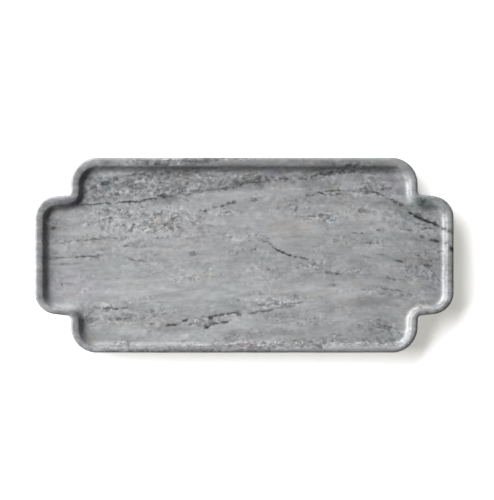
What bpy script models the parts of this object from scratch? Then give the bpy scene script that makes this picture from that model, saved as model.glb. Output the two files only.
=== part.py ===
"""Marble vanity tray: a shallow dish carved from one slab, standing on four round bumper pads.

+X runs along the tray's length, +Y across it and +Z up. The origin lies under the tray's centre,
on the surface that the pads stand on. All sizes are in metres.
"""

import math

import bmesh
import bpy
from mathutils import Vector

MM = 0.001

# Outline of the stone from above: a broad middle with a narrower wing at each end
LENGTH = 381.0 * MM
WIDTH = 177.8 * MM
WING_REACH = 32.5 * MM
SHOULDER_DEPTH = 33.4 * MM
WING_TAPER = math.radians(6.5)
SHOULDER_TAPER = math.radians(1.5)
MIDDLE_CORNER_RADIUS = 23.5 * MM
WING_CORNER_RADIUS = 19.7 * MM
SHOULDER_FILLET = 3.0 * MM

# Section through the rim, from the outer wall inwards
STONE_THICKNESS = 16.2 * MM
RECESS_DEPTH = 5.8 * MM
BASE_ROUND = 1.5 * MM
RIM_OUTER_ROUND = 2.7 * MM
RIM_FLAT = 0.4 * MM
RIM_CROWN_RADIUS = 12.0 * MM
RIM_CROWN_TILT = math.radians(16.5)
RIM_INNER_ROUND = 2.4 * MM
WALL_SLOPE = math.radians(59.0)
COVE_RADIUS = 4.8 * MM

# Pads and the adhesive that holds them
PAD_DIAMETER = 12.7 * MM
PAD_HEIGHT = 2.0 * MM
PAD_EDGE_ROUND = 0.5 * MM
ADHESIVE_DIAMETER = 11.5 * MM
ADHESIVE_THICKNESS = 0.2 * MM
SEAT_CLEARANCE = 0.3 * MM

# How finely the round shapes are cut
CORNER_STEPS = 8
FILLET_STEPS = 4
ROUND_STEPS = 4
CROWN_STEPS = 2
DISC_SIDES = 32
SMOOTH_BELOW = math.radians(32.0)

UNDERSIDE = PAD_HEIGHT + ADHESIVE_THICKNESS + 2.0 * SEAT_CLEARANCE
HALF_LENGTH = LENGTH / 2.0
HALF_WIDTH = WIDTH / 2.0
HALF_MIDDLE = HALF_LENGTH - WING_REACH
HALF_WING = HALF_WIDTH - SHOULDER_DEPTH


def clear_scene():
    for item in list(bpy.data.objects):
        bpy.data.objects.remove(item, do_unlink=True)


def material(name, colour, roughness, metallic=0.0):
    made = bpy.data.materials.new(name)
    made.use_nodes = True
    shader = made.node_tree.nodes["Principled BSDF"]
    shader.inputs["Base Color"].default_value = (*colour, 1.0)
    shader.inputs["Roughness"].default_value = roughness
    shader.inputs["Metallic"].default_value = metallic
    return made


def arc(before, corner, after, radius, steps):
    """Points of the arc that rounds a corner, from the first side's tangent point to the second's."""
    first = (before - corner).normalized()
    second = (after - corner).normalized()
    half_angle = first.angle(second) / 2.0
    centre = corner + (first + second).normalized() * (radius / math.sin(half_angle))
    reach = radius / math.tan(half_angle)
    start = corner + first * reach - centre
    sweep = start.angle_signed(corner + second * reach - centre)
    points = []
    for step in range(steps + 1):
        turn = -sweep * step / steps
        cosine = math.cos(turn)
        sine = math.sin(turn)
        spoke = Vector((start.x * cosine - start.y * sine, start.x * sine + start.y * cosine))
        points.append(centre + spoke)
    return points


def outline():
    """The stone's outline, counterclockwise from the right-hand wing's back corner."""
    wing_tip = Vector((HALF_LENGTH, HALF_WING - WING_REACH * math.tan(WING_TAPER)))
    shoulder = Vector((HALF_MIDDLE, HALF_WING))
    middle_tip = Vector((HALF_MIDDLE - SHOULDER_DEPTH * math.tan(SHOULDER_TAPER), HALF_WIDTH))
    quarter = [
        (wing_tip, WING_CORNER_RADIUS, CORNER_STEPS),
        (shoulder, SHOULDER_FILLET, FILLET_STEPS),
        (middle_tip, MIDDLE_CORNER_RADIUS, CORNER_STEPS),
    ]
    corners = []
    for across, along in ((1, 1), (-1, 1), (-1, -1), (1, -1)):
        ordered = quarter if across * along > 0 else reversed(quarter)
        for place, radius, steps in ordered:
            corners.append((Vector((place.x * across, place.y * along)), radius, steps))
    points = []
    for index, (place, radius, steps) in enumerate(corners):
        before = corners[index - 1][0]
        after = corners[(index + 1) % len(corners)][0]
        points.extend(arc(before, place, after, radius, steps))
    return points


def falling_round(radius, start, end, count):
    """Steps (inwards, upwards) along an arc that falls inwards and steepens from one slope to another."""
    slopes = [start + (end - start) * step / count for step in range(count + 1)]
    return [
        (radius * (math.sin(b) - math.sin(a)), radius * (math.cos(b) - math.cos(a)))
        for a, b in zip(slopes, slopes[1:])
    ]


def quarter_round(radius):
    """Steps (inwards, upwards) that turn a vertical wall into a level face."""
    falling = falling_round(radius, 0.0, math.pi / 2.0, ROUND_STEPS)
    return [(-rise, run) for run, rise in falling]


def rim_steps():
    """Steps (inwards, upwards) over the rim and down to the tray's floor."""
    crown = falling_round(RIM_CROWN_RADIUS, 0.0, RIM_CROWN_TILT, CROWN_STEPS)
    inner = falling_round(RIM_INNER_ROUND, RIM_CROWN_TILT, WALL_SLOPE, ROUND_STEPS)
    cove = falling_round(COVE_RADIUS, 0.0, WALL_SLOPE, ROUND_STEPS)
    cove.reverse()
    rounds_drop = -sum(rise for _, rise in crown + inner + cove)
    fit = min(1.0, RECESS_DEPTH / rounds_drop)
    straight_drop = RECESS_DEPTH - rounds_drop * fit
    steps = quarter_round(RIM_OUTER_ROUND)
    steps.append((RIM_FLAT, 0.0))
    steps.extend((run * fit, rise * fit) for run, rise in crown + inner)
    steps.append((straight_drop / math.tan(WALL_SLOPE), -straight_drop))
    steps.extend((run * fit, rise * fit) for run, rise in cove)
    return [step for step in steps if step != (0.0, 0.0)]


def carve(bm, face, steps):
    """Insets a level face once for each step, which leaves a ring of faces along the outline."""
    for inwards, upwards in steps:
        bmesh.ops.inset_region(
            bm, faces=[face], thickness=inwards, depth=upwards, use_even_offset=True, use_boundary=True
        )


def finished(bm, name):
    """The mesh from a closed shape, with rounded stretches shaded smooth."""
    bmesh.ops.recalc_face_normals(bm, faces=bm.faces)
    mesh = bpy.data.meshes.new(name)
    bm.to_mesh(mesh)
    bm.free()
    mesh.shade_smooth()
    mesh.set_sharp_from_angle(angle=SMOOTH_BELOW)
    return mesh


def stone_mesh():
    """The slab's outer wall, with the rim and recess carved above it and the base rounded below."""
    bm = bmesh.new()
    wall_foot = UNDERSIDE + BASE_ROUND
    wall_height = STONE_THICKNESS - BASE_ROUND - RIM_OUTER_ROUND
    base = bm.faces.new([bm.verts.new((p.x, p.y, wall_foot)) for p in outline()])
    raised = bmesh.ops.extrude_face_region(bm, geom=[base])["geom"]
    bmesh.ops.translate(
        bm, verts=[v for v in raised if isinstance(v, bmesh.types.BMVert)], vec=(0.0, 0.0, wall_height)
    )
    bmesh.ops.recalc_face_normals(bm, faces=bm.faces)
    level = sorted((f for f in bm.faces if abs(f.normal.z) > 0.5), key=lambda f: f.calc_center_median().z)
    carve(bm, level[-1], rim_steps())
    carve(bm, level[0], quarter_round(BASE_ROUND))
    return finished(bm, "marble_tray")


def disc_mesh(name, diameter, bottom, height, edge_round):
    """A round disc with its lower edge rounded off where a radius is given."""
    bm = bmesh.new()
    bmesh.ops.create_cone(
        bm, cap_ends=True, segments=DISC_SIDES, radius1=diameter / 2.0, radius2=diameter / 2.0, depth=height
    )
    bmesh.ops.translate(bm, verts=bm.verts, vec=(0.0, 0.0, bottom + height / 2.0))
    if edge_round > 0.0:
        middle = bottom + height / 2.0
        foot = [e for e in bm.edges if all(v.co.z < middle for v in e.verts)]
        bmesh.ops.bevel(
            bm, geom=foot, offset=edge_round, segments=ROUND_STEPS, profile=0.5, affect="EDGES"
        )
    return finished(bm, name)


def add_object(name, mesh, finish, parent=None, location=(0.0, 0.0, 0.0)):
    added = bpy.data.objects.new(name, mesh)
    bpy.context.scene.collection.objects.link(added)
    if not mesh.materials:
        mesh.materials.append(finish)
    added.parent = parent
    added.location = location
    return added


def build_pads(stone):
    """A pad and its adhesive disc under each round corner of the broad middle, centred on its arc."""
    rubber = material("bumper_rubber", (0.12, 0.12, 0.125), 0.55)
    adhesive = material("adhesive_film", (0.62, 0.60, 0.55), 0.45)
    pad_mesh = disc_mesh("bumper_pad", PAD_DIAMETER, 0.0, PAD_HEIGHT, PAD_EDGE_ROUND)
    film_bottom = PAD_HEIGHT + SEAT_CLEARANCE
    film_mesh = disc_mesh("adhesive_disc", ADHESIVE_DIAMETER, film_bottom, ADHESIVE_THICKNESS, 0.0)
    pad_x = HALF_MIDDLE - MIDDLE_CORNER_RADIUS
    pad_y = HALF_WIDTH - MIDDLE_CORNER_RADIUS
    for depth_name, along in (("front", -1), ("back", 1)):
        for side_name, across in (("left", -1), ("right", 1)):
            corner = f"{depth_name}_{side_name}"
            place = (pad_x * across, pad_y * along, 0.0)
            add_object(f"bumper_pad_{corner}", pad_mesh, rubber, stone, place)
            add_object(f"adhesive_disc_{corner}", film_mesh, adhesive, stone, place)


def main():
    clear_scene()
    marble = material("grey_marble", (0.36, 0.365, 0.37), 0.35)
    stone = add_object("marble_tray", stone_mesh(), marble)
    build_pads(stone)


main()
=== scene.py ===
"""Looks of the marble vanity tray: the carved stone, its four bumper pads, the studio and the camera.

The stone is blocked out, rounded and carved as a mason would, and its marble is a pattern in space, so
each vein runs on through floor, wall and underside. Everything is in metres, +Z up, in the CAD's frame.
"""

import logging
import math
from dataclasses import dataclass, field
from enum import Enum
from typing import Any, Callable

import bmesh
import bpy
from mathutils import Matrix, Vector

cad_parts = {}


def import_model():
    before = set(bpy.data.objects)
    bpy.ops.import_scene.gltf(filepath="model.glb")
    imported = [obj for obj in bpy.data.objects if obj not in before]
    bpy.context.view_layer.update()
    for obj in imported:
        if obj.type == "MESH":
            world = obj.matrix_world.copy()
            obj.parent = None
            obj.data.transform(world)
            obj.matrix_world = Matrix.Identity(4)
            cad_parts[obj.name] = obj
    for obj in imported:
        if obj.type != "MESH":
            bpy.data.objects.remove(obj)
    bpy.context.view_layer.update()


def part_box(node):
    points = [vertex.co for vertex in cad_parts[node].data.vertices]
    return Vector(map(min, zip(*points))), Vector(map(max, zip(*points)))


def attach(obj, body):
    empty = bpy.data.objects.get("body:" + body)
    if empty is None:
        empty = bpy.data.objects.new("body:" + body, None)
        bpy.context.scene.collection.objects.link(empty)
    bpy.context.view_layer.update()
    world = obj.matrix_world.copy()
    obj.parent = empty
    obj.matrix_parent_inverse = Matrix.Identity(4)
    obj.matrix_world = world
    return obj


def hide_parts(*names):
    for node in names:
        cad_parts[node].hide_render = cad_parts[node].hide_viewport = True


LOG = logging.getLogger("vanity_tray")

MM = 0.001
BODY = "root"

# How near two places count as one, and how far apart as clearly apart
TOUCH = 0.01 * MM
CLEAR = 1.0 * MM
# The share of a length that counts as all of it
NEARLY = 0.99
# How nearly a face's normal points along an axis for the face to look that way, and to lie square to it
FACING = 0.5
SQUARE = 0.999

# The marble's beds, in millimetres: they rise along the tray by a share, and fall away again past a turn
BED_RISE = 0.05
BED_FALL = 0.0008
BED_TURN = 60.0
# Where a patch of the marble begins and where it is at its fullest, as shares of its reach
BED_EDGE = (1.25, 0.2)
# A patch that reaches less far across is a spot, whose edge is crisper and more ragged
SPOT_REACH = 3.0
SPOT_EDGE = (1.15, 0.5)
SPOT_RAGGED = 1.4
# The share of a vein's width within which it is at its darkest
VEIN_CORE = 0.15

Colour = tuple[float, float, float]
Point = tuple[float, float]
Swell = tuple[float, float, float]


class Corner(Enum):
    """The four corners that carry a pad, named as the CAD's nodes name them."""

    FRONT_LEFT = "front_left"
    FRONT_RIGHT = "front_right"
    BACK_LEFT = "back_left"
    BACK_RIGHT = "back_right"


class Bench:
    """A mesh in edit mode, whose faces and edges are picked by their place or normal."""

    def __init__(self, piece: bpy.types.Object) -> None:
        """Takes the piece that is worked on."""
        self.piece = piece

    def __enter__(self) -> "Bench":
        """Puts the piece on the bench, with nothing selected.

        Returns:
            The bench itself.
        """
        take_up(self.piece)
        bpy.ops.object.mode_set(mode="EDIT")
        bpy.ops.mesh.select_all(action="DESELECT")
        return self

    def __exit__(self, *failure: object) -> None:
        """Takes the piece off the bench."""
        bpy.ops.object.mode_set(mode="OBJECT")

    def pick_faces(self, wanted: Callable[[bmesh.types.BMFace], bool]) -> int:
        """Selects the faces that a test picks out.

        Args:
            wanted: Says whether a face is picked.

        Returns:
            How many faces are selected.
        """
        bpy.ops.mesh.select_all(action="DESELECT")
        bpy.ops.mesh.select_mode(type="FACE")
        shape = bmesh.from_edit_mesh(self.piece.data)
        picked = [face for face in shape.faces if wanted(face)]
        for face in picked:
            face.select_set(True)
        bmesh.update_edit_mesh(self.piece.data)
        return len(picked)

    def pick_edges(self, wanted: Callable[[bmesh.types.BMEdge], bool]) -> int:
        """Selects the edges that a test picks out.

        Args:
            wanted: Says whether an edge is picked.

        Returns:
            How many edges are selected.
        """
        bpy.ops.mesh.select_all(action="DESELECT")
        bpy.ops.mesh.select_mode(type="EDGE")
        shape = bmesh.from_edit_mesh(self.piece.data)
        picked = [edge for edge in shape.edges if wanted(edge)]
        for edge in picked:
            edge.select_set(True)
        bmesh.update_edit_mesh(self.piece.data)
        return len(picked)

    def inset(self, steps: list[Point], after: Callable[[float], None] | None = None) -> None:
        """Insets the picked level face once for each step.

        Args:
            steps: How far each ring runs inwards and how far it rises along the face's normal.
            after: Moves the picked face after each ring, given how far the ring ran inwards.
        """
        for inwards, upwards in steps:
            bpy.ops.mesh.inset(thickness=inwards, depth=upwards, use_even_offset=True, use_boundary=True)
            if after:
                after(inwards)


def take_up(piece: bpy.types.Object) -> None:
    """Selects a piece alone and makes it the active one.

    Args:
        piece: The piece that is worked on next.
    """
    bpy.ops.object.select_all(action="DESELECT")
    piece.select_set(True)
    bpy.context.view_layer.objects.active = piece


def edge_middle(edge: bmesh.types.BMEdge) -> Vector:
    """The point halfway along an edge."""
    return (edge.verts[0].co + edge.verts[1].co) / 2.0


def stands_up(edge: bmesh.types.BMEdge) -> bool:
    """Whether an edge is vertical."""
    run = edge.verts[1].co - edge.verts[0].co
    return abs(run.z) > NEARLY * run.length


def settle(piece: bpy.types.Object) -> None:
    """Puts a piece's place, turn and scale into its mesh."""
    take_up(piece)
    bpy.ops.object.transform_apply(location=True, rotation=True, scale=True)


def smooth(piece: bpy.types.Object, sharp_above: float) -> None:
    """Shades a piece smooth, apart from edges sharper than an angle in radians."""
    take_up(piece)
    bpy.ops.object.shade_smooth_by_angle(angle=sharp_above)


def turned_disc(low: Vector, high: Vector, sides: int, name: str) -> bpy.types.Object:
    """A plain upright disc that fills a box.

    Args:
        low: The box's lowest corner.
        high: Its highest corner.
        sides: How many sides the disc has.
        name: The disc's name.

    Returns:
        The disc.
    """
    bpy.ops.mesh.primitive_cylinder_add(
        vertices=sides,
        radius=(high.x - low.x) / 2.0,
        depth=high.z - low.z,
        location=(low + high) / 2.0,
    )
    disc = bpy.context.active_object
    disc.name = name
    settle(disc)
    return disc


def copy_piece(piece: bpy.types.Object, shift: Vector, name: str) -> bpy.types.Object:
    """Copies a finished piece to another place.

    Args:
        piece: The piece that is copied.
        shift: How far away the copy lies.
        name: The copy's name.

    Returns:
        The copy, with a mesh of its own.
    """
    copy = piece.copy()
    copy.data = piece.data.copy()
    copy.name = name
    copy.location = shift
    bpy.context.scene.collection.objects.link(copy)
    settle(copy)
    return copy


def arc_steps(radius: float, start: float, end: float, count: int) -> list[Point]:
    """Steps along a rim's arc that leans from one slope to another.

    Args:
        radius: The arc's radius.
        start: The slope at the arc's start, in radians below the level.
        end: The slope at its end.
        count: How many steps the arc has.

    Returns:
        How far each step runs inwards and how far it rises.
    """
    slopes = [start + (end - start) * step / count for step in range(count + 1)]
    turn = 1.0 if end > start else -1.0
    return [
        (radius * turn * (math.sin(b) - math.sin(a)), radius * turn * (math.cos(b) - math.cos(a)))
        for a, b in zip(slopes, slopes[1:])
    ]


@dataclass
class CarvedTray:
    """The stone: a block cut to outline, with rounded edges and a recess carved into its top."""

    node: str = "marble_tray"
    wing_reach: float = 32.5 * MM
    shoulder_depth: float = 33.4 * MM
    wing_taper: float = math.radians(6.5)
    shoulder_taper: float = math.radians(1.5)
    middle_corner_radius: float = 23.5 * MM
    wing_corner_radius: float = 19.7 * MM
    shoulder_fillet: float = 3.0 * MM
    base_round: float = 1.5 * MM
    rim_outer_round: float = 2.7 * MM
    rim_flat: float = 0.4 * MM
    rim_crown_radius: float = 12.0 * MM
    rim_crown_tilt: float = math.radians(16.5)
    rim_inner_round: float = 2.4 * MM
    wall_slope: float = math.radians(59.0)
    cove_radius: float = 4.8 * MM
    recess_depth: float = 5.8 * MM
    # How far the recess shifts, and how far it widens to each side, for each unit that its rim runs inwards
    recess_lean: Point = (0.14, -0.36)
    recess_spread: Point = (0.07, 0.16)
    level_margin: float = 1.0 * MM
    wall_pitch: float = 5.0 * MM
    corner_steps: int = 24
    fillet_steps: int = 10
    round_steps: int = 10
    hand_wander: float = 0.24 * MM
    hand_wavelength: float = 22.0 * MM
    sharp_above: float = math.radians(40.0)
    piece: bpy.types.Object = field(init=False)

    def __post_init__(self) -> None:
        """Takes the overall size from the CAD's node, with room inside it for the wander."""
        self.low, self.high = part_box(self.node)
        self.half_length = (self.high.x - self.low.x - self.hand_wander) / 2.0
        self.half_width = (self.high.y - self.low.y - self.hand_wander) / 2.0
        self.half_middle = self.half_length - self.wing_reach
        self.half_wing = self.half_width - self.shoulder_depth

    def build(self) -> bpy.types.Object:
        """Models the stone from a block.

        Returns:
            The finished stone.
        """
        self.block_out()
        self.round_corners()
        self.divide_walls()
        self.carve()
        self.finish_by_hand()
        return self.piece

    def block_out(self) -> None:
        """Cuts the block to its outline: the broad middle, then a tapered wing at each end."""
        foot = self.low.z + self.base_round
        top = self.high.z - self.rim_outer_round
        bpy.ops.mesh.primitive_cube_add(
            size=1.0,
            location=(0.0, 0.0, (foot + top) / 2.0),
            scale=(2.0 * self.half_middle, 2.0 * self.half_width, top - foot),
        )
        self.piece = bpy.context.active_object
        self.piece.name = "carved_marble_tray"
        settle(self.piece)
        wing_shrink = 1.0 - self.wing_reach * math.tan(self.wing_taper) / self.half_wing
        middle_shrink = 1.0 - self.shoulder_depth * math.tan(self.shoulder_taper) / self.half_middle
        with Bench(self.piece) as bench:
            for side in (-1.0, 1.0):
                bpy.ops.mesh.select_all(action="SELECT")
                bpy.ops.mesh.bisect(plane_co=(0.0, side * self.half_wing, 0.0), plane_no=(0.0, 1.0, 0.0))
            for side in (-1.0, 1.0):
                bench.pick_faces(
                    lambda f: f.normal.x * side > FACING and abs(f.calc_center_median().y) < CLEAR
                )
                bpy.ops.mesh.extrude_region_move(
                    TRANSFORM_OT_translate={"value": (side * self.wing_reach, 0.0, 0.0)}
                )
                bpy.ops.transform.resize(value=(1.0, wing_shrink, 1.0), center_override=(0.0, 0.0, 0.0))
            bench.pick_faces(
                lambda f: abs(f.normal.y) > FACING and abs(f.calc_center_median().x) < CLEAR
            )
            bpy.ops.transform.resize(value=(middle_shrink, 1.0, 1.0), center_override=(0.0, 0.0, 0.0))
            for side in (-1.0, 1.0):
                bench.pick_faces(lambda f: f.normal.z * side > FACING)
                bpy.ops.mesh.dissolve_faces()

    def round_corners(self) -> None:
        """Rounds the outline's twelve upright corners."""
        square = math.pi / 2.0
        groups = (
            (self.half_length, self.wing_corner_radius, square + self.wing_taper, self.corner_steps),
            (self.half_middle, self.shoulder_fillet, square + self.wing_taper + self.shoulder_taper,
             self.fillet_steps),
            (None, self.middle_corner_radius, square + self.shoulder_taper, self.corner_steps),
        )
        with Bench(self.piece) as bench:
            for distance, radius, angle, steps in groups:
                if distance is None:
                    bench.pick_edges(
                        lambda e: stands_up(e) and abs(edge_middle(e).y) > self.half_width - TOUCH
                    )
                else:
                    bench.pick_edges(
                        lambda e: stands_up(e)
                        and abs(abs(edge_middle(e).x) - distance) < TOUCH
                        and abs(edge_middle(e).y) < self.half_width - CLEAR
                    )
                reach = radius / math.tan(angle / 2.0)
                bpy.ops.mesh.bevel(
                    offset_type="OFFSET", offset=reach, segments=steps, profile=0.5, affect="EDGES"
                )

    def divide_walls(self) -> None:
        """Divides each long straight wall into short lengths, which can wander a little."""
        shape = self.piece.data
        long_walls = []
        for edge in shape.edges:
            a, b = (shape.vertices[index].co for index in edge.vertices)
            if abs(a.z - b.z) < TOUCH and (a - b).length > 2.0 * self.wall_pitch:
                long_walls.append(((a + b) / 2.0, (a - b).length))
        with Bench(self.piece) as bench:
            for middle, length in long_walls:
                if middle.z > self.low.z + 2.0 * self.base_round:
                    continue
                bench.pick_edges(
                    lambda e: (edge_middle(e) - middle).to_2d().length < TOUCH
                    and e.calc_length() > length * NEARLY
                )
                bpy.ops.mesh.subdivide(number_cuts=round(length / self.wall_pitch) - 1)

    def carve(self) -> None:
        """Rounds the rim, carves the recess behind it and rounds the base."""
        quarter = math.pi / 2.0
        crown = arc_steps(self.rim_crown_radius, 0.0, self.rim_crown_tilt, self.round_steps)
        inner = arc_steps(self.rim_inner_round, self.rim_crown_tilt, self.wall_slope, self.round_steps)
        cove = arc_steps(self.cove_radius, self.wall_slope, 0.0, self.round_steps)
        wall_drop = self.recess_depth + sum(rise for _, rise in crown + inner + cove)
        rim = arc_steps(self.rim_outer_round, -quarter, 0.0, self.round_steps)
        rim += [(self.rim_flat, 0.0)]
        wall = [(wall_drop / math.tan(self.wall_slope), -wall_drop)] + cove + [(self.level_margin, 0.0)]
        base = arc_steps(self.base_round, -quarter, 0.0, self.round_steps) + [(self.level_margin, 0.0)]
        with Bench(self.piece) as bench:
            bench.pick_faces(lambda f: f.normal.z > FACING)
            bench.inset(rim)
            bench.inset(crown + inner, self.lean_recess)
            bench.inset(wall)
            bench.pick_faces(lambda f: f.normal.z < -FACING)
            bench.inset(base)
            bpy.ops.mesh.select_all(action="SELECT")
            bpy.ops.mesh.normals_make_consistent(inside=False)

    def lean_recess(self, inwards: float) -> None:
        """Shifts and widens what is left of the top, so that the rim is slimmer in front and on the right.

        Args:
            inwards: How far the rim's last ring ran inwards.
        """
        widening = (
            1.0 + self.recess_spread[0] * inwards / self.half_length,
            1.0 + self.recess_spread[1] * inwards / self.half_width,
            1.0,
        )
        bpy.ops.transform.resize(value=widening, center_override=(0.0, 0.0, 0.0))
        shift = (self.recess_lean[0] * inwards, self.recess_lean[1] * inwards, 0.0)
        bpy.ops.transform.translate(value=shift)

    def finish_by_hand(self) -> None:
        """Lets the ground outline wander level with the floor, as it does when it is polished by hand."""
        for axis in ("X", "Y"):
            pattern = bpy.data.textures.new(f"hand_polishing_{axis.lower()}", "CLOUDS")
            pattern.noise_scale = self.hand_wavelength
            pattern.noise_depth = 1
            wander = self.piece.modifiers.new(f"wander_{axis.lower()}", "DISPLACE")
            wander.texture = pattern
            wander.texture_coords = "LOCAL"
            wander.direction = axis
            wander.strength = self.hand_wander
            wander.mid_level = 0.5
            bpy.ops.object.modifier_apply(modifier=wander.name)
            bpy.data.textures.remove(pattern)
        smooth(self.piece, self.sharp_above)

    def dress(self, finish: bpy.types.Material) -> None:
        """Gives the stone its marble and puts it in the CAD node's place.

        Args:
            finish: The marble.
        """
        self.piece.data.materials.append(finish)
        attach(self.piece, BODY)
        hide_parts(self.node)


@dataclass
class BumperPad:
    """A moulded rubber pad with a rounded foot and two fine rings pressed into it."""

    edge_round: float = 0.5 * MM
    top_round: float = 0.15 * MM
    outer_band: float = 0.8 * MM
    ring_spacing: float = 1.6 * MM
    ring_slope: float = 0.105 * MM
    ring_floor: float = 0.14 * MM
    ring_depth: float = 0.12 * MM
    sides: int = 96
    edge_steps: int = 6
    top_steps: int = 3
    sharp_above: float = math.radians(40.0)
    first: bpy.types.Object | None = field(default=None, init=False)
    first_low: Vector | None = field(default=None, init=False)

    def build(self, corner: Corner) -> bpy.types.Object:
        """Makes the pad under one corner of the tray. The first is modelled, and the rest are its copies.

        Args:
            corner: The corner that the pad carries.

        Returns:
            The finished pad.
        """
        low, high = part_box(f"bumper_pad_{corner.value}")
        name = f"rubber_pad_{corner.value}"
        if self.first:
            return copy_piece(self.first, low - self.first_low, name)
        self.first = self.model(low, high, name)
        self.first_low = low
        return self.first

    def model(self, low: Vector, high: Vector, name: str) -> bpy.types.Object:
        """Models a pad from a plain disc.

        Args:
            low: The lowest corner of the box that the pad fills.
            high: The box's highest corner.
            name: The pad's name.

        Returns:
            The finished pad.
        """
        middle = (low.z + high.z) / 2.0
        pad = turned_disc(low, high, self.sides, name)
        slope = self.ring_slope
        groove = [(slope, -self.ring_depth), (self.ring_floor, 0.0), (slope, self.ring_depth)]
        with Bench(pad) as bench:
            bench.pick_edges(lambda e: not stands_up(e) and edge_middle(e).z < middle)
            bpy.ops.mesh.bevel(
                offset=self.edge_round, segments=self.edge_steps, profile=0.5, affect="EDGES"
            )
            bench.pick_edges(lambda e: not stands_up(e) and edge_middle(e).z > high.z - TOUCH)
            bpy.ops.mesh.bevel(
                offset=self.top_round, segments=self.top_steps, profile=0.5, affect="EDGES"
            )
            bench.pick_faces(lambda f: f.normal.z < -SQUARE)
            bench.inset([(self.outer_band, 0.0)] + groove + [(self.ring_spacing, 0.0)] + groove)
            bpy.ops.mesh.select_all(action="SELECT")
            bpy.ops.mesh.normals_make_consistent(inside=False)
        smooth(pad, self.sharp_above)
        return pad

    def dress(self, pad: bpy.types.Object, corner: Corner, finish: bpy.types.Material) -> None:
        """Gives a pad its rubber and puts it in the CAD node's place.

        Args:
            pad: The pad.
            corner: The corner that it carries.
            finish: The rubber.
        """
        pad.data.materials.append(finish)
        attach(pad, BODY)
        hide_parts(f"bumper_pad_{corner.value}")


@dataclass
class AdhesiveDisc:
    """The thin adhesive disc between a pad and the stone, with softly squeezed edges."""

    edge_round: float = 0.06 * MM
    sides: int = 96
    edge_steps: int = 3
    sharp_above: float = math.radians(40.0)
    first: bpy.types.Object | None = field(default=None, init=False)
    first_low: Vector | None = field(default=None, init=False)

    def build(self, corner: Corner) -> bpy.types.Object:
        """Makes the disc under one corner of the tray. The first is modelled, and the rest are its copies.

        Args:
            corner: The corner that the disc holds its pad to.

        Returns:
            The finished disc.
        """
        low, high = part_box(f"adhesive_disc_{corner.value}")
        name = f"adhesive_film_{corner.value}"
        if self.first:
            return copy_piece(self.first, low - self.first_low, name)
        self.first = self.model(low, high, name)
        self.first_low = low
        return self.first

    def model(self, low: Vector, high: Vector, name: str) -> bpy.types.Object:
        """Models an adhesive disc from a plain one.

        Args:
            low: The lowest corner of the box that the disc fills.
            high: The box's highest corner.
            name: The disc's name.

        Returns:
            The finished disc.
        """
        disc = turned_disc(low, high, self.sides, name)
        with Bench(disc) as bench:
            bench.pick_edges(lambda e: not stands_up(e))
            bpy.ops.mesh.bevel(
                offset=self.edge_round, segments=self.edge_steps, profile=0.5, affect="EDGES"
            )
        smooth(disc, self.sharp_above)
        return disc

    def dress(self, disc: bpy.types.Object, corner: Corner, finish: bpy.types.Material) -> None:
        """Gives a disc its adhesive and puts it in the CAD node's place.

        Args:
            disc: The disc.
            corner: The corner that it lies under.
            finish: The adhesive.
        """
        disc.data.materials.append(finish)
        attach(disc, BODY)
        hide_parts(f"adhesive_disc_{corner.value}")


class Signal:
    """A socket in a shader tree, on which arithmetic adds Math nodes."""

    def __init__(self, desk: "ShaderDesk", socket: bpy.types.NodeSocket) -> None:
        """Takes the desk that adds the nodes, and the socket that carries the value."""
        self.desk = desk
        self.socket = socket

    def __add__(self, other: "Signal | float") -> "Signal":
        """This value plus another."""
        return self.desk.maths("ADD", self, other)

    __radd__ = __add__

    def __sub__(self, other: "Signal | float") -> "Signal":
        """This value less another."""
        return self.desk.maths("SUBTRACT", self, other)

    def __rsub__(self, other: "Signal | float") -> "Signal":
        """Another value less this one."""
        return self.desk.maths("SUBTRACT", other, self)

    def __mul__(self, other: "Signal | float") -> "Signal":
        """This value times another."""
        return self.desk.maths("MULTIPLY", self, other)

    __rmul__ = __mul__

    def __truediv__(self, other: "Signal | float") -> "Signal":
        """This value divided by another."""
        return self.desk.maths("DIVIDE", self, other)

    def __rtruediv__(self, other: "Signal | float") -> "Signal":
        """Another value divided by this one."""
        return self.desk.maths("DIVIDE", other, self)

    def __abs__(self) -> "Signal":
        """This value without its sign."""
        return self.desk.maths("ABSOLUTE", self)


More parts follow.
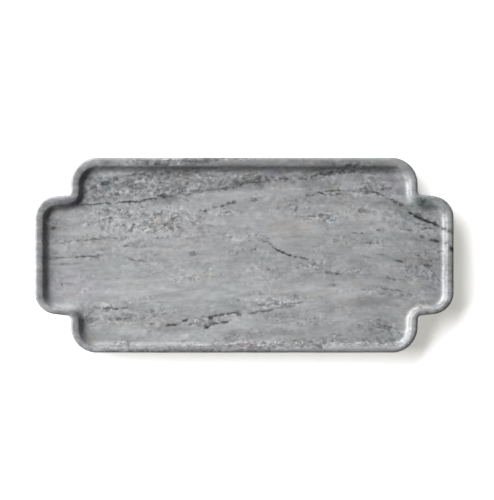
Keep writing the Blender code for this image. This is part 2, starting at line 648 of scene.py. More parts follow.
class ShaderDesk:
    """Adds nodes to one material, or to the world, and joins them."""

    def __init__(self, owner: bpy.types.Material | bpy.types.World) -> None:
        """Starts with an empty tree.

        Args:
            owner: The material or the world.
        """
        owner.use_nodes = True
        self.owner = owner
        self.tree = owner.node_tree
        self.tree.nodes.clear()

    def add(
        self, kind: str, settings: dict[str, Any], sockets: dict[str | int, Any]
    ) -> bpy.types.Node:
        """Adds one node.

        Args:
            kind: The node's type.
            settings: Its own settings, set first; curve is a list of points for a Float Curve.
            sockets: A value or a link for each input, by name or number.

        Returns:
            The node.
        """
        added = self.tree.nodes.new(kind)
        for name, value in settings.items():
            if name == "curve":
                self.shape_curve(added, value)
            else:
                setattr(added, name, value)
        for name, value in sockets.items():
            if isinstance(value, Signal):
                self.tree.links.new(value.socket, added.inputs[name])
            else:
                added.inputs[name].default_value = value
        return added

    def node(
        self, kind: str, settings: dict[str, Any], sockets: dict[str | int, Any], output: str | int = 0
    ) -> Signal:
        """Adds one node and hands on one of its outputs, by name or number."""
        return Signal(self, self.add(kind, settings, sockets).outputs[output])

    def shape_curve(self, node: bpy.types.Node, points: list[Point]) -> None:
        """Draws a Float Curve node's curve.

        Args:
            node: The node.
            points: The points that the curve runs through, between 0 and 1.
        """
        curve = node.mapping.curves[0]
        while len(curve.points) < len(points):
            curve.points.new(0.5, 0.5)
        for target, place in zip(curve.points, points):
            target.location = place
        node.mapping.update()

    def maths(self, operation: str, *values: Signal | float) -> Signal:
        """A Math node's result."""
        return self.node("ShaderNodeMath", {"operation": operation}, dict(enumerate(values)))

    def grade(self, value: Signal, low: float, high: float) -> Signal:
        """Rises smoothly from 0 at one value to 1 at another, which may be the lower."""
        # A smooth step stays between 0 and 1 without the node's own clamp
        settings = {"interpolation_type": "SMOOTHSTEP", "clamp": False}
        return self.node("ShaderNodeMapRange", settings, {"Value": value, 1: low, 2: high})

    def place(self, x: Signal | float, y: Signal | float, z: Signal | float) -> Signal:
        """A vector from its three values."""
        return self.node("ShaderNodeCombineXYZ", {}, {0: x, 1: y, 2: z})

    def noise(self, place: Signal, detail: float, roughness: float = 0.5) -> Signal:
        """Cloudy noise around 0, with one swell for each unit of its place."""
        sockets = {"Vector": place, "Scale": 1.0, "Detail": detail, "Roughness": roughness}
        return self.node("ShaderNodeTexNoise", {"noise_dimensions": "3D"}, sockets) - 0.5

    def blend(self, share: Signal | float, first: Any, second: Any) -> Signal:
        """A colour between two others."""
        sockets = {"Factor": share, 6: first, 7: second}
        return self.node("ShaderNodeMix", {"data_type": "RGBA"}, sockets, 2)

    def finish(self, surface: Signal) -> bpy.types.Material | bpy.types.World:
        """Joins a shader to the output.

        Args:
            surface: The shader.

        Returns:
            The finished material or world.
        """
        lights_room = isinstance(self.owner, bpy.types.World)
        kind = "ShaderNodeOutputWorld" if lights_room else "ShaderNodeOutputMaterial"
        self.add(kind, {}, {"Surface": surface})
        return self.owner


def opaque(colour: Colour) -> tuple[float, float, float, float]:
    """A colour with its alpha."""
    return (*colour, 1.0)


def bed_height(x: float) -> float:
    """How far the marble's beds have risen across the tray at a place along it, in millimetres."""
    return BED_RISE * x - BED_FALL * max(0.0, x - BED_TURN) ** 2


@dataclass(frozen=True)
class Cloud:
    """A cloudy noise, by how long its swells are along, across and upwards in millimetres.

    The start is where in the noise its heights are counted from, so that no two patterns agree.
    """

    swell: Swell
    detail: float = 1.0
    roughness: float = 0.5
    start: float = 0.0

    def place(self, desk: ShaderDesk, x: Signal, y: Signal, z: Signal) -> Signal:
        """Counts a place in swells.

        Args:
            desk: The desk of the marble's material.
            x: The place along the tray in millimetres.
            y: The place across it, or up through the beds.
            z: The height.

        Returns:
            The place as a vector.
        """
        along = x / self.swell[0]
        across = y / self.swell[1]
        height = z / self.swell[2]
        return desk.place(along, across, height + self.start if self.start else height)

    def draw(self, desk: ShaderDesk, x: Signal, y: Signal, z: Signal) -> Signal:
        """The noise around 0 at a place in millimetres."""
        return desk.noise(self.place(desk, x, y, z), self.detail, self.roughness)


@dataclass(frozen=True)
class Vein:
    """A dark thread in the marble, by the points of its route across the floor in millimetres.

    The width is how far it reaches to each side, the spread how far specks gather beside it and the fade
    how long its ends are, all in millimetres. Strength and broken are shares.
    """

    route: tuple[Point, ...]
    width: float = 1.0
    strength: float = 0.5
    broken: float = 0.5
    spread: float = 2.5
    fade: float = 5.0

    def draw(
        self, desk: ShaderDesk, along: Signal, across: Signal, swell: Signal, gaps: Signal
    ) -> tuple[Signal, Signal]:
        """Draws the vein.

        Args:
            desk: The desk of the marble's material.
            along: The place along the tray in millimetres.
            across: The place across it, with the stone's own wander.
            swell: How the thread thickens and thins along the vein, around 1.
            gaps: Where a broken vein fades, from 0 to 1.

        Returns:
            The thread's darkness, and the closeness that gathers specks beside it.
        """
        start, end = self.route[0][0], self.route[-1][0]
        offset = abs(across - self.height(desk, along))
        half = self.fade / 2.0
        reach = desk.grade(along, start - half, start + half) * desk.grade(along, end + half, end - half)
        thread = desk.grade(offset / swell, self.width, self.width * VEIN_CORE) * (1.0 - gaps * self.broken)
        beside = desk.grade(offset, self.spread, 0.0)
        return thread * reach * self.strength, beside * reach * self.strength

    def height(self, desk: ShaderDesk, along: Signal) -> Signal:
        """Follows the vein's route.

        Args:
            desk: The desk of the marble's material.
            along: The place along the tray in millimetres.

        Returns:
            How far across the tray the vein runs there.
        """
        (start, first), (end, last) = self.route[0], self.route[-1]
        if len(self.route) == 2:
            ends = {"Value": along, 1: start, 2: end, 3: first, 4: last}
            return desk.node("ShaderNodeMapRange", {"clamp": False}, ends)
        heights = [y for _, y in self.route]
        low, span = min(heights), max(heights) - min(heights)
        points = [((x - start) / (end - start), (y - low) / span) for x, y in self.route]
        share = desk.node("ShaderNodeMapRange", {"clamp": False}, {"Value": along, 1: start, 2: end})
        curve = desk.node("ShaderNodeFloatCurve", {"curve": points}, {"Value": share})
        return desk.maths("MULTIPLY_ADD", curve, span, low)


@dataclass(frozen=True)
class Patch:
    """A stretch of the marble, by its middle and reach across the floor in millimetres."""

    middle: Point
    reach: Point

    def mask(self, desk: ShaderDesk, bed_place: Signal, ragged: Signal) -> Signal:
        """Draws the patch.

        Args:
            desk: The desk of the marble's material.
            bed_place: The place along the tray and up through its beds, in millimetres.
            ragged: Noise around 0 that breaks up the edge.

        Returns:
            How far a place lies inside the patch, from 0 to 1.
        """
        x, y = self.middle
        stretch = (1.0 / self.reach[0], 1.0 / self.reach[1], 0.0)
        centre = (-x * stretch[0], -(y - bed_height(x)) * stretch[1], 0.0)
        scaling = {0: bed_place, 1: stretch, 2: centre}
        offset = desk.node("ShaderNodeVectorMath", {"operation": "MULTIPLY_ADD"}, scaling)
        distance = desk.node("ShaderNodeVectorMath", {"operation": "LENGTH"}, {0: offset}, "Value")
        if self.reach[1] < SPOT_REACH:
            return desk.grade(distance + ragged * SPOT_RAGGED, *SPOT_EDGE)
        return desk.grade(distance + ragged, *BED_EDGE)


@dataclass(frozen=True)
class Bed(Patch):
    """A patch that is darker or paler than the rest, and may be coarser too."""

    shade: float
    grain: float = 0.0


@dataclass(frozen=True)
class Stain(Patch):
    """A patch with a colour cast."""

    tint: Colour


FLOOR_VEINS = (
    # Upper left: a thin thread that swells into smudges and ends in broken spots
    Vein(
        ((-150, 45.5), (-129, 47), (-113, 48), (-104, 48.5), (-96, 49), (-87, 51), (-78, 52)),
        1.4, 0.74, 0.3,
    ),
    Vein(((-80, 52.5), (-73, 54), (-66, 54), (-61, 55.5), (-48, 56)), 2.6, 0.68, 0.45, 5.0),
    Vein(((-47, 58.5), (-37, 59), (-30, 60), (-23, 60.3)), 2.4, 0.6, 0.3, 4.5),
    Vein(((-22, 60.5), (-12, 62), (-4, 64), (2, 67), (9, 66.5), (17, 66)), 2.2, 0.66, 0.6, 5.0),
    Vein(((-123, 62.7), (-100, 63.2)), 1.2, 0.55, 0.3),
    Vein(((-111, 72.4), (-92, 73.7)), 1.2, 0.5, 0.3),
    Vein(((-42, 41), (-36, 40.8), (-29, 43), (-20, 44.5), (-8, 48.8)), 1.7, 0.45, 0.95, 3.5),
    # Upper right
    Vein(
        ((60, 70.5), (67, 73), (76, 74), (82, 75.8), (89, 75.2), (93, 78.5), (98, 81)),
        2.2, 0.72, 0.3, 5.0,
    ),
    Vein(((34, 70.5), (48, 69), (62, 70.5)), 2.0, 0.55, 0.9, 5.0),
    Vein(((55, 56.3), (61, 54.9), (67, 56.8), (75, 55.4), (88, 56.3)), 1.9, 0.72, 0.3, 3.5),
    Vein(((71, 57), (81, 58.7), (102, 58.4)), 1.2, 0.58, 0.4),
    Vein(((99.5, 20.4), (107, 19.6), (115, 19.6)), 1.4, 0.68, 0.3, 2.0),
    # The boldest one, which crosses the right wing's wall
    Vein(((116, 58.5), (131, 52.7), (139, 47.8), (147, 44.5), (154, 45.5)), 2.2, 0.68, 0.8, 5.0),
    Vein(
        ((149, 40.5), (153, 38), (159, 34.2), (163, 32), (171, 29), (179, 25), (190, 17.8)),
        2.3, 0.88, 0.45, 4.0,
    ),
    # Threads in front of it
    Vein(((163, 24), (172, 24.5)), 1.2, 0.62, 0.3),
    Vein(((142, 23.4), (153, 23)), 1.1, 0.45, 0.4),
    Vein(((169, 13.4), (178, 12.3), (188, 5)), 1.8, 0.62, 0.5),
    # Middle
    Vein(((15, 14.5), (22, 11), (27, 7.5)), 2.2, 0.5, 0.9, 3.5),
    Vein(((25, 8.5), (32, 3.5), (38, 1), (43, -0.7), (50, -2.5)), 2.0, 0.8, 0.1, 3.0, 3.0),
    Vein(((47, -2), (60, -4.2)), 1.2, 0.6, 0.3),
    Vein(((58, -4), (70, -4.6)), 1.2, 0.45, 0.5),
    Vein(((50, -8), (58, -11), (68, -13)), 1.7, 0.5, 0.8),
    Vein(((74, -15), (79, -16.8), (87, -17)), 1.3, 0.5, 0.5),
    # Left
    Vein(((-190, -3.2), (-173, -2.7), (-155, -2), (-145, -1.8), (-129, -0.6)), 1.8, 0.6, 0.7),
    Vein(((-174, -8.5), (-149, -8.6)), 1.3, 0.42, 0.7),
    Vein(((-105, -3), (-98, -4.6), (-90, -5)), 1.6, 0.5, 0.7),
    Vein(((-154, 13.9), (-143, 13.7), (-135, 15), (-115, 15.2)), 1.3, 0.5, 0.7),
    Vein(((-110, 8.8), (-97, 8)), 1.8, 0.5, 0.8),
    # Lower left
    Vein(((-137, -47.8), (-122, -48.4), (-106, -48)), 1.7, 0.62, 0.5),
    Vein(((-90, -62.4), (-81, -62.4)), 1.8, 0.5, 0.5),
    Vein(((-72, -65), (-66, -63.5), (-60, -62.5), (-51, -58.8)), 2.1, 0.78, 0.4, 3.5),
    Vein(((-52, -63), (-41, -63.2)), 1.3, 0.5, 0.5),
    Vein(((-38, -64), (-34, -65.6), (-30, -63.2), (-25, -62), (-13, -60)), 2.1, 0.74, 0.5, 3.5),
    Vein(
        ((-34, -58.2), (-31, -57.4), (-24, -55.2), (-18, -54.4), (-9, -52.6), (-3, -52.8)),
        1.7, 0.66, 0.8, 3.5,
    ),
    # Lower middle
    Vein(((3, -53.5), (15, -51.4), (21, -51), (28, -48.5)), 1.6, 0.55, 0.7, 3.5),
    Vein(((12, -44.9), (27, -44.6), (42, -44.2), (62, -43.4)), 1.3, 0.48, 0.8, 3.0),
    Vein(((28, -48), (36, -47.5), (46, -46)), 1.6, 0.42, 0.95, 3.0),
    # Right
    Vein(((137, -4.3), (147, -6)), 1.9, 0.66, 0.6, 3.5),
    Vein(((148, -11), (159, -13)), 1.9, 0.6, 0.7, 3.5),
    Vein(((159, -7.5), (170, -10)), 1.9, 0.62, 0.7, 3.5),
    Vein(((166, -11), (170, -14), (174, -18), (179, -25)), 1.8, 0.62, 0.6, 3.0),
    Vein(((126, -31), (143, -32.3)), 1.7, 0.55, 0.7),
    Vein(((126, -18), (132, -20.5), (138, -23)), 1.8, 0.5, 0.8),
)

FLOOR_BEDS = (
    # Along the back, mostly darker and coarser
    Bed((-136, 55), (24, 20), 0.14, 0.25),
    Bed((-74, 67), (76, 16), 0.11, 0.45),
    Bed((-104, 60), (18, 8), 0.1, 0.1),
    Bed((-116, 37), (28, 14), 0.12, 0.1),
    Bed((-78, 51), (38, 6), 0.15, 0.1),
    # Painted shade: these two long bands darken the back wall of the recess, which faces away from the lamp
    Bed((-50, 80), (46, 6), 0.08),
    Bed((-20, 76), (150, 4.5), 0.14),
    Bed((-28, 65), (24, 7), 0.16),
    Bed((-70, 49.5), (20, 4), 0.2),
    Bed((18, 69), (46, 9), 0.26, 0.3),
    Bed((14, 82), (22, 6), 0.14),
    Bed((60, 52), (52, 6), 0.13, 0.1),
    Bed((68, 68), (22, 8), 0.18, 0.1),
    Bed((84, 60), (16, 6), 0.12),
    Bed((80, 48.5), (14, 4.5), 0.13),
    Bed((95, 77), (50, 7), 0.2, 0.3),
    Bed((118, 62), (28, 12), 0.12, 0.3),
    Bed((-178, 22), (10, 10), 0.12),
    Bed((-85, 30), (70, 20), -0.08, 0.28),
    # Right wing, and beds that run up to it
    Bed((163, 47.5), (10, 5), 0.44, 0.2),
    Bed((154, 34), (26, 10), 0.24, 0.2),
    Bed((162, 41), (14, 5), 0.24),
    Bed((130, 45), (20, 8), 0.22),
    Bed((168, 8), (20, 32), 0.15, 0.15),
    Bed((150, 0), (22, 14), 0.13),
    Bed((154, -14), (34, 20), 0.02, 0.08),
    Bed((102, -10), (12, 6), 0.13),
    Bed((140, -36), (22, 7), 0.16, 0.1),
    Bed((170, -18), (18, 34), 0.12),
    # Painted shade: darkens the lit front wall of the right wing's recess
    Bed((174, -45.5), (20, 4.5), 0.34),
    Bed((84, -18), (36, 5), 0.13, 0.1),
    Bed((118, 12), (28, 7), 0.1, 0.1),
    Bed((181, 8), (9, 26), 0.11),
    Bed((157, -50), (13, 6), 0.14),
    # Lower right
    Bed((116, -43), (20, 5), 0.22),
    Bed((127, -64), (20, 9), 0.22, 0.3),
    Bed((112, -66), (7, 9), 0.1),
    # Middle
    Bed((60, -9), (24, 7), 0.12, 0.2),
    Bed((-8, 22), (22, 8), 0.13),
    Bed((18, 12), (10, 5), 0.12),
    Bed((-18, 40), (14, 5), 0.08, 0.2),
    Bed((72, 34), (24, 8), 0.0, 0.3),
    # Left wing and along the front
    Bed((-172, 26), (18, 16), 0.18, 0.1),
    Bed((-160, 45), (16, 6), 0.27),
    Bed((-178, -6), (12, 10), 0.14),
    Bed((-172, -38), (14, 8), 0.05),
    Bed((-143, -56), (12, 16), 0.18, 0.2),
    Bed((-100, -57), (50, 10), 0.08, 0.22),
    Bed((-130, -71), (14, 6), 0.12),
    Bed((-26, -60), (34, 7), 0.0, 0.3),
    Bed((26, -44), (36, 6), -0.14, 0.2),
    Bed((-2, -50), (12, 4), 0.12),
    Bed((56, -70), (46, 5), 0.1),
    Bed((-14, -75), (9, 5), 0.2),
    Bed((-66, -67), (26, 8), 0.1),
    # The rim in front and at the back. The two long bands along the front are painted shade that tones down
    # the lit front rim and wall; the others darken or pale shorter stretches of the rim
    Bed((0, -84), (150, 6), 0.12, 0.5),
    Bed((30, -79), (130, 5), 0.08),
    Bed((-20, 86), (150, 4), -0.03, 0.4),
    Bed((62, -84), (12, 5), 0.14),
    Bed((-112, -82), (22, 5), 0.18, 0.3),
    Bed((-36, 85), (16, 4), 0.2, 0.35),
    Bed((-122, 82), (12, 6), 0.16),
    Bed((128, -80), (30, 8), 0.16, 0.2),
    # Paler stretches
    Bed((-4, 54), (28, 5), -0.12, -0.25),
    Bed((38, 20), (34, 8), -0.08, -0.25),
    Bed((0, -30), (130, 9), -0.12, -0.25),
    Bed((16, -38), (30, 6), -0.18),
    Bed((86, -33), (24, 8), -0.17),
    Bed((-94, -41), (26, 6), -0.14),
    Bed((-152, -46), (12, 8), -0.1),
    Bed((-120, -16), (30, 10), -0.07),
    Bed((-66, -26), (24, 8), -0.05),
    Bed((0, -64), (36, 6), -0.16, -0.2),
    Bed((-104, -71), (26, 5), -0.12),
    Bed((28, 1), (34, 5), -0.07),
    Bed((-120, 74), (18, 4), -0.14),
    # Spots
    Bed((-126, 65.5), (5, 2.9), 0.5),
    Bed((-117, 70.4), (2.5, 2), 0.5),
    Bed((-116, 55.4), (2.2, 2), 0.5),
    Bed((-73, 54.3), (4, 2.8), 0.35),
    Bed((-61, 55.6), (3.4, 2.6), 0.3),
    Bed((-8, 64), (6, 4), 0.12, 0.3),
    Bed((-35.6, 40.6), (2.4, 1.7), 0.55),
    Bed((-20, 45), (2.6, 1.7), 0.35),
    Bed((-14, 47.4), (2.8, 1.7), 0.55),
    Bed((-9.6, 48.2), (2.6, 1.8), 0.45),
    Bed((14, 61.5), (4, 3.6), 0.2),
    Bed((70, 36.2), (4, 2.6), 0.45),
    Bed((108, 39), (8, 5), 0.2, 0.4),
    Bed((111.5, 57.2), (3.2, 2.4), 0.5),
    Bed((137.5, 48.6), (2, 1.6), 0.35),
    Bed((143, 46.5), (2.2, 1.5), 0.35),
    Bed((158, 36.5), (5, 3.4), 0.35),
    Bed((162, 17), (2.2, 2.2), 0.4),
    Bed((175, 12.6), (2.4, 1.5), 0.4),
    Bed((188, 4), (4.5, 4.2), 0.8),
    Bed((151, -36), (3.5, 3), 0.25),
    Bed((-174, 25), (2.5, 2.2), 0.4),
    Bed((-47, 1.2), (3, 2), 0.35),
    Bed((-84, -51.3), (3, 2), 0.35),
    Bed((-31, -57.4), (2.6, 1.9), 0.6),
    Bed((-5, -54), (3, 1.8), 0.5),
    Bed((-34, -65.4), (2.2, 1.9), 0.5),
    Bed((69, -84), (3, 2.4), 0.35),
)

FLOOR_STAINS = (
    Stain((163, 47.5), (13, 7), (0.92, 1.0, 0.99)),
    Stain((79, 33), (8, 5), (0.94, 1.01, 1.02)),
    Stain((-125, 64), (9, 8), (0.92, 1.0, 1.05)),
    Stain((148, 36), (12, 7), (0.95, 1.01, 1.01)),
    Stain((-47, 20), (14, 14), (1.03, 0.99, 0.99)),
    Stain((0, -83), (14, 6), (1.05, 0.98, 1.0)),
    Stain((26, 72), (9, 7), (1.0, 0.98, 1.06)),
    Stain((134, 66), (14, 12), (1.02, 0.99, 1.04)),
    Stain((-160, 47), (16, 8), (1.0, 0.98, 1.05)),
    Stain((-156, -26), (26, 16), (1.01, 0.99, 1.02)),
    Stain((50, 27), (30, 18), (1.02, 1.0, 0.98)),
    Stain((160, -22), (26, 20), (0.985, 1.0, 1.02)),
    Stain((-35, -14), (16, 10), (0.98, 1.01, 0.98)),
)


@dataclass(frozen=True)
class GreyMarble:
    """Honed grey marble: pale grey with mottled beds, dark specks, thin veins and faint tints."""

    name: str = "grey_marble"
    # The stone's tone, and how strongly each part of the pattern lightens or darkens it
    tone: float = 0.378
    streak: float = 0.95
    grain: float = 0.8
    crystal: float = 0.03
    fleck: float = 0.28
    speck: float = 0.4
    hairline: float = 0.25
    halo: float = 0.1
    rim_painted_shade: float = 0.15
    darkest: float = 0.04
    # How high above the recess's floor the painted shade on the rim starts, and where it is full
    rim_shade_heights: Point = (1.0, 4.5)
    # The bounds between which a noise brings out flecks, specks and hairlines, and breaks up veins
    fleck_edge: Point = (0.17, 0.4)
    speck_edge: Point = (0.28, 0.44)
    hair_edge: Point = (0.014, 0.0)
    hair_places: Point = (0.02, 0.2)
    gap_edge: Point = (0.12, -0.1)
    # Where the stone is lively, the grain's share where it is calm, and what it gains where it is lively
    lively_edge: Point = (-0.2, 0.6)
    calm_grain: float = 0.3
    lively_grain: float = 2.4
    # How far the beds sway and wander, the veins' share of the sway and the beds' share of the wander
    sway: float = 4.0
    wander: float = 2.8
    vein_sway: float = 0.4
    bed_wander: float = 0.5
    # How steeply the beds dip across the tray, and the height at which the veins and patches are laid out
    dip: float = 0.35
    floor_height: float = 13.2
    # The noises, by one swell along the tray, up through the beds and upwards
    sway_noise: Cloud = Cloud((40.0, 16.0, 12.0))
    wander_noise: Cloud = Cloud((4.5, 3.0, 3.0), 3.0, 0.65)
    mottle_noise: Cloud = Cloud((36.0, 11.0, 14.0))
    string_noise: Cloud = Cloud((11.0, 3.4, 3.0), start=7.0)
    pepper_noise: Cloud = Cloud((2.9, 2.5, 2.4), start=13.0)
    contour_noise: Cloud = Cloud((38.0, 4.2, 9.0), 2.0, start=3.0)
    streak_noise: Cloud = Cloud((34.0, 8.5, 9.0), 2.0, 0.75)
    grain_noise: Cloud = Cloud((3.7, 3.4, 2.9), 1.0, 0.6)
    crystal_cells: Cloud = Cloud((1.6, 1.3, 1.4))
    fleck_noise: Cloud = Cloud((2.6, 1.9, 2.0), start=31.0)
    green_noise: Cloud = Cloud((26.0, 18.0, 20.0), 0.0, start=17.0)
    warm_noise: Cloud = Cloud((24.0, 14.0, 20.0), 0.0, start=29.0)
    # The faint casts, and the bounds between which their noises bring them out
    cool: Colour = (0.982, 0.998, 1.026)
    green: Colour = (0.955, 1.005, 1.005)
    warm: Colour = (1.012, 0.999, 0.992)
    green_edge: Point = (0.1, 0.32)
    warm_edge: Point = (0.08, 0.3)
    # The polish, with how much it varies, and the fine pits left in it
    roughness: float = 0.26
    roughness_spread: float = 0.15
    pit_depth: float = 0.02 * MM
    pits_per_mm: float = 0.4
    veins: tuple[Vein, ...] = FLOOR_VEINS
    beds: tuple[Bed, ...] = FLOOR_BEDS
    stains: tuple[Stain, ...] = FLOOR_STAINS

    def material(self) -> bpy.types.Material:
        """Mixes the marble.

        Returns:
            The marble's material.
        """
        desk = ShaderDesk(bpy.data.materials.new(self.name))
        place = desk.node("ShaderNodeTexCoord", {}, {}, "Object")
        place = desk.node("ShaderNodeVectorMath", {"operation": "SCALE"}, {0: place, "Scale": 1.0 / MM})
        scaling = {0: place, "Scale": self.pits_per_mm}
        fine = desk.node("ShaderNodeVectorMath", {"operation": "SCALE"}, scaling)
        x = desk.node("ShaderNodeSeparateXYZ", {}, {0: place}, 0)
        y = desk.node("ShaderNodeSeparateXYZ", {}, {0: place}, 1)
        z = desk.node("ShaderNodeSeparateXYZ", {}, {0: place}, 2)
        layer = y - (z - self.floor_height) * self.dip
        sway = self.sway_noise.draw(desk, x, layer, z) * self.sway
        wander = self.wander_noise.draw(desk, x, layer, z) * self.wander
        across = layer + sway * self.vein_sway + wander
        past = desk.maths("MAXIMUM", x - BED_TURN, 0.0)
        bed = layer + sway + wander * self.bed_wander - x * BED_RISE + past * past * BED_FALL
        mottle = self.mottle_noise.draw(desk, x, bed, z)
        string = self.string_noise.draw(desk, x, bed, z)
        pepper = self.pepper_noise.draw(desk, x, bed, z)
        along = x + pepper
        ragged = mottle + string * 0.8 + pepper * 0.4
        darker, coarser, bed_place = self.bedding(desk, along, bed, ragged)
        gaps = desk.grade(string * 1.3 + pepper, *self.gap_edge)
        swell = 0.85 + string * 2.6 + pepper * 3.6
        thread, beside = self.threads(desk, along, across, swell, gaps)
        darker = darker + beside * self.halo
        shade_from, shade_full = (self.floor_height + height for height in self.rim_shade_heights)
        # Painted shade: the raised rim is darkened by height, so that its lit crest is no paler than the
        # floor
        darker = darker + desk.grade(z, shade_from, shade_full) * self.rim_painted_shade
        busy = string * 0.9 + mottle * 0.9 + beside * 0.2 + coarser
        ground = self.ground(desk, x, bed, z, busy)
        speck = desk.grade(pepper + busy, *self.speck_edge) * self.speck
        contour = abs(self.contour_noise.draw(desk, x, bed, z))
        hair = desk.grade(contour, *self.hair_edge) * desk.grade(string + mottle, *self.hair_places)
        hair = hair * self.hairline
        shade = desk.maths("MAXIMUM", desk.maths("MAXIMUM", speck, hair), thread)
        value = ground * (1.0 - darker) * (1.0 - shade) * self.tone
        value = desk.maths("MAXIMUM", value, self.darkest)
        tint = self.tints(desk, x, bed, z, bed_place)
        colour = desk.node("ShaderNodeVectorMath", {"operation": "SCALE"}, {0: tint, "Scale": value})
        polish = self.roughness + mottle * self.roughness_spread + shade * self.roughness_spread
        # The pits have a noise of their own, because a Bump node works out its height three times
        pits = desk.noise(fine, 2.0) * self.pit_depth
        bump = desk.node("ShaderNodeBump", {}, {"Height": pits, "Distance": 1.0, "Strength": 1.0})
        surface = desk.node(
            "ShaderNodeBsdfPrincipled",
            {},
            {"Base Color": colour, "Roughness": polish, "Normal": bump, "IOR": 1.5},
        )
        return desk.finish(surface)

    def ground(self, desk: ShaderDesk, x: Signal, bed: Signal, z: Signal, busy: Signal) -> Signal:
        """The pale ground.

        Args:
            desk: The desk of the marble's material.
            x: The place along the tray in millimetres.
            bed: The place up through the beds.
            z: The height.
            busy: How lively the stone is, around 0.

        Returns:
            The ground's tone around 1: streaks along the beds, grain, crystals and white flecks.
        """
        streak = self.streak_noise.draw(desk, x, bed, z)
        grain = self.grain_noise.draw(desk, x, bed, z)
        grain = grain * (self.calm_grain + desk.grade(busy, *self.lively_edge) * self.lively_grain)
        cells = {"Vector": self.crystal_cells.place(desk, x, bed, z), "Scale": 1.0}
        crystal = desk.node("ShaderNodeTexVoronoi", {}, cells, "Color")
        crystal = desk.node("ShaderNodeSeparateColor", {}, {0: crystal}, 0) - 0.5
        fleck = self.fleck_noise.draw(desk, x, bed, z)
        fleck = desk.grade(fleck + busy * 0.6, *self.fleck_edge) * self.fleck
        return 1.0 + streak * self.streak + grain * self.grain + crystal * self.crystal + fleck

    def bedding(
        self, desk: ShaderDesk, along: Signal, bed: Signal, ragged: Signal
    ) -> tuple[Signal, Signal, Signal]:
        """The bedding's patches.

        Args:
            desk: The desk of the marble's material.
            along: The place along the tray in millimetres.
            bed: The place up through the beds.
            ragged: Noise around 0 that breaks up each patch's edge.

        Returns:
            The share of the tone taken away, how much coarser the stone is, and the place in the bedding.
        """
        bed_place = desk.place(along, bed, 0.0)
        darker: Signal | float = 0.0
        coarser: Signal | float = 0.0
        for patch in self.beds:
            mask = patch.mask(desk, bed_place, ragged)
            if patch.shade:
                darker = desk.maths("MULTIPLY_ADD", mask, patch.shade, darker)
            if patch.grain:
                coarser = desk.maths("MULTIPLY_ADD", mask, patch.grain, coarser)
        return darker, coarser, bed_place

    def threads(
        self, desk: ShaderDesk, along: Signal, across: Signal, swell: Signal, gaps: Signal
    ) -> tuple[Signal, Signal]:
        """Draws all the veins.

        Args:
            desk: The desk of the marble's material.
            along: The place along the tray in millimetres.
            across: The place across it, with the stone's own wander.
            swell: How the threads thicken and thin, around 1.
            gaps: Where broken veins fade, from 0 to 1.

        Returns:
            The darkness of the darkest thread at a place, and how near the closest vein is.
        """
        swell = desk.maths("MAXIMUM", swell, 0.1)
        thread: Signal | float = 0.0
        beside: Signal | float = 0.0
        for vein in self.veins:
            next_thread, next_beside = vein.draw(desk, along, across, swell, gaps)
            thread = desk.maths("MAXIMUM", next_thread, thread)
            beside = desk.maths("MAXIMUM", next_beside, beside)
        return thread, beside

    def tints(self, desk: ShaderDesk, x: Signal, bed: Signal, z: Signal, bed_place: Signal) -> Signal:
        """Faint cool, green and warm casts over the slab, with a stain here and there.

        Args:
            desk: The desk of the marble's material.
            x: The place along the tray in millimetres.
            bed: The place up through the beds.
            z: The height.
            bed_place: The place in the bedding.

        Returns:
            The colour that the marble's tone is multiplied by.
        """
        greening = self.green_noise.draw(desk, x, bed, z)
        warming = self.warm_noise.draw(desk, x, bed, z)
        tint = desk.blend(desk.grade(greening, *self.green_edge), opaque(self.cool), opaque(self.green))
        tint = desk.blend(desk.grade(warming, *self.warm_edge), tint, opaque(self.warm))
        for stain in self.stains:
            mask = stain.mask(desk, bed_place, greening)
            stained = desk.node("ShaderNodeVectorMath", {"operation": "MULTIPLY"}, {0: tint, 1: stain.tint})
            tint = desk.blend(mask, tint, stained)
        return tint


@dataclass(frozen=True)
class MouldedRubber:
    """Matt charcoal rubber with a fine moulded grain."""

    name: str = "bumper_rubber"
    colour: Colour = (0.12, 0.12, 0.125)
    worn: Colour = (0.17, 0.168, 0.165)
    worn_edge: Point = (-0.1, 0.25)
    roughness: float = 0.6
    roughness_spread: float = 0.2
    grain_depth: float = 0.03 * MM

    def material(self) -> bpy.types.Material:
        """Mixes the rubber.

        Returns:
            The rubber's material.
        """
        desk = ShaderDesk(bpy.data.materials.new(self.name))
        place = desk.node("ShaderNodeTexCoord", {}, {}, "Object")
        place = desk.node("ShaderNodeVectorMath", {"operation": "SCALE"}, {0: place, "Scale": 1.0 / MM})
        grain = desk.noise(place, 3.0)
        colour = desk.blend(desk.grade(grain, *self.worn_edge), opaque(self.colour), opaque(self.worn))
        roughness = self.roughness + grain * self.roughness_spread
        bump = desk.node("ShaderNodeBump", {}, {"Height": grain * self.grain_depth, "Distance": 1.0})
        surface = desk.node(
            "ShaderNodeBsdfPrincipled",
            {},
            {"Base Color": colour, "Roughness": roughness, "Normal": bump},
        )
        return desk.finish(surface)


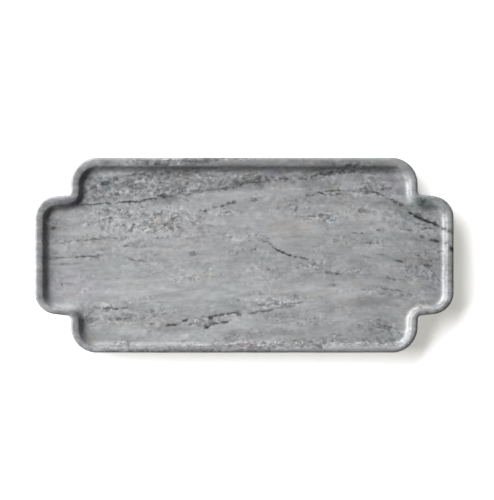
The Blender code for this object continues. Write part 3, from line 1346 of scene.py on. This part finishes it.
@dataclass(frozen=True)
class AdhesiveFilm:
    """Milky adhesive film, clouded where it has gripped the stone unevenly."""

    name: str = "adhesive_film"
    colour: Colour = (0.62, 0.6, 0.55)
    gripped: Colour = (0.5, 0.485, 0.45)
    gripped_edge: Point = (-0.15, 0.2)
    roughness: float = 0.42
    roughness_spread: float = 0.2
    clouds_per_mm: float = 0.6
    cloud_depth: float = 0.02 * MM

    def material(self) -> bpy.types.Material:
        """Mixes the adhesive.

        Returns:
            The film's material.
        """
        desk = ShaderDesk(bpy.data.materials.new(self.name))
        place = desk.node("ShaderNodeTexCoord", {}, {}, "Object")
        scaling = {0: place, "Scale": self.clouds_per_mm / MM}
        place = desk.node("ShaderNodeVectorMath", {"operation": "SCALE"}, scaling)
        clouding = desk.noise(place, 3.0)
        mask = desk.grade(clouding, *self.gripped_edge)
        colour = desk.blend(mask, opaque(self.colour), opaque(self.gripped))
        roughness = self.roughness + clouding * self.roughness_spread
        bump = desk.node("ShaderNodeBump", {}, {"Height": clouding * self.cloud_depth, "Distance": 1.0})
        surface = desk.node(
            "ShaderNodeBsdfPrincipled",
            {},
            {"Base Color": colour, "Roughness": roughness, "Normal": bump},
        )
        return desk.finish(surface)


@dataclass
class Studio:
    """A white floor, a large window-like lamp low on the left and a faint grey room."""

    floor_size: float = 8.0
    floor_colour: Colour = (0.84, 0.835, 0.815)
    # What the camera sees of the floor instead, with a glow of which the stone gets a share
    floor_lift: Colour = (1.35, 1.35, 1.4)
    floor_glow: Colour = (0.4, 0.395, 0.36)
    glow_cast: float = 0.6
    level: float = 1.68
    key_elevation: float = math.radians(26.8)
    key_turn: float = math.radians(31.0)
    key_distance: float = 2.5
    # The lamp's width and height as shares of its distance, and its share of the level
    key_spread: Point = (1.675, 0.9)
    key_share: float = 0.91
    ambient: float = 0.03

    def build(self) -> None:
        """Lays the floor, hangs the lamp and lights the room."""
        self.lay_floor()
        self.hang_key()
        self.light_world()

    def lay_floor(self) -> None:
        """Lays the floor that the tray stands on, which the camera sees brighter than the tray does."""
        bpy.ops.mesh.primitive_plane_add(size=self.floor_size)
        floor = bpy.context.active_object
        floor.name = "studio_floor"
        desk = ShaderDesk(bpy.data.materials.new("white_floor"))
        camera = desk.node("ShaderNodeLightPath", {}, {}, "Is Camera Ray")
        colour = desk.blend(camera, opaque(self.floor_colour), opaque(self.floor_lift))
        lit = desk.node("ShaderNodeBsdfDiffuse", {}, {"Color": colour})
        seen = desk.maths("MULTIPLY_ADD", camera, 1.0 - self.glow_cast, self.glow_cast)
        glow = desk.node("ShaderNodeEmission", {}, {"Color": opaque(self.floor_glow), "Strength": seen})
        white = desk.finish(desk.node("ShaderNodeAddShader", {}, {0: lit, 1: glow}))
        white.cycles.emission_sampling = "NONE"
        floor.data.materials.append(white)

    def hang_key(self) -> None:
        """Hangs the large lamp on the left."""
        lamp = bpy.data.lights.new("key_lamp", "AREA")
        lamp.shape = "RECTANGLE"
        lamp.size, lamp.size_y = (self.key_distance * share for share in self.key_spread)
        # At this power a lamp straight above would light a white floor to the level
        full = self.level * math.pi ** 2 * self.key_distance ** 2
        lamp.energy = self.key_share * full / math.sin(self.key_elevation)
        holder = bpy.data.objects.new("key_lamp", lamp)
        bpy.context.scene.collection.objects.link(holder)
        reach = math.cos(self.key_elevation)
        towards = Vector((
            -reach * math.cos(self.key_turn),
            reach * math.sin(self.key_turn),
            math.sin(self.key_elevation),
        ))
        holder.location = towards * self.key_distance
        holder.rotation_euler = (-towards).to_track_quat("-Z", "Y").to_euler()

    def light_world(self) -> None:
        """Lights the faint grey room, which the camera sees as white."""
        desk = ShaderDesk(bpy.data.worlds.new("studio_room"))
        camera = desk.node("ShaderNodeLightPath", {}, {}, "Is Camera Ray")
        strengths = {"Factor": camera, 2: self.ambient * self.level, 3: 1.0}
        strength = desk.node("ShaderNodeMix", {}, strengths)
        sockets = {"Color": (1.0, 1.0, 1.0, 1.0), "Strength": strength}
        bpy.context.scene.world = desk.finish(desk.node("ShaderNodeBackground", {}, sockets))


@dataclass
class OverheadCamera:
    """A camera straight above the tray, which frames it as the picture does."""

    lens: float = 85.0
    sensor: float = 36.0
    picture_height: float = 456.8 * MM
    aim: Point = (2.55 * MM, 4.6 * MM)
    aim_height: float = 10.9 * MM

    def build(self) -> None:
        """Hangs the camera and makes it the scene's own."""
        lens = bpy.data.cameras.new("overhead_camera")
        lens.lens = self.lens
        lens.sensor_width = self.sensor
        holder = bpy.data.objects.new("overhead_camera", lens)
        bpy.context.scene.collection.objects.link(holder)
        distance = self.picture_height * self.lens / self.sensor
        holder.location = (*self.aim, self.aim_height + distance)
        bpy.context.scene.camera = holder


def report(piece: bpy.types.Object) -> None:
    """Logs a piece's size in millimetres and its faces."""
    size = " x ".join(f"{length / MM:.1f}" for length in piece.dimensions)
    LOG.info("%s: %s mm, %d faces", piece.name, size, len(piece.data.polygons))


def main() -> None:
    """Builds the tray around the CAD's frame and sets up the studio."""
    logging.basicConfig(level=logging.INFO, format="%(message)s")
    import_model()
    bpy.context.scene.view_settings.view_transform = "Standard"
    OverheadCamera().build()
    Studio().build()

    tray = CarvedTray()
    report(tray.build())
    tray.dress(GreyMarble().material())
    rubber = MouldedRubber().material()
    adhesive = AdhesiveFilm().material()
    padding, bonding = BumperPad(), AdhesiveDisc()
    # All are built before any is dressed, because the first of each kind is copied
    supports = [(corner, padding.build(corner), bonding.build(corner)) for corner in Corner]
    for corner, pad, disc in supports:
        padding.dress(pad, corner, rubber)
        report(pad)
        bonding.dress(disc, corner, adhesive)
        report(disc)


if __name__ == "__main__":
    main()
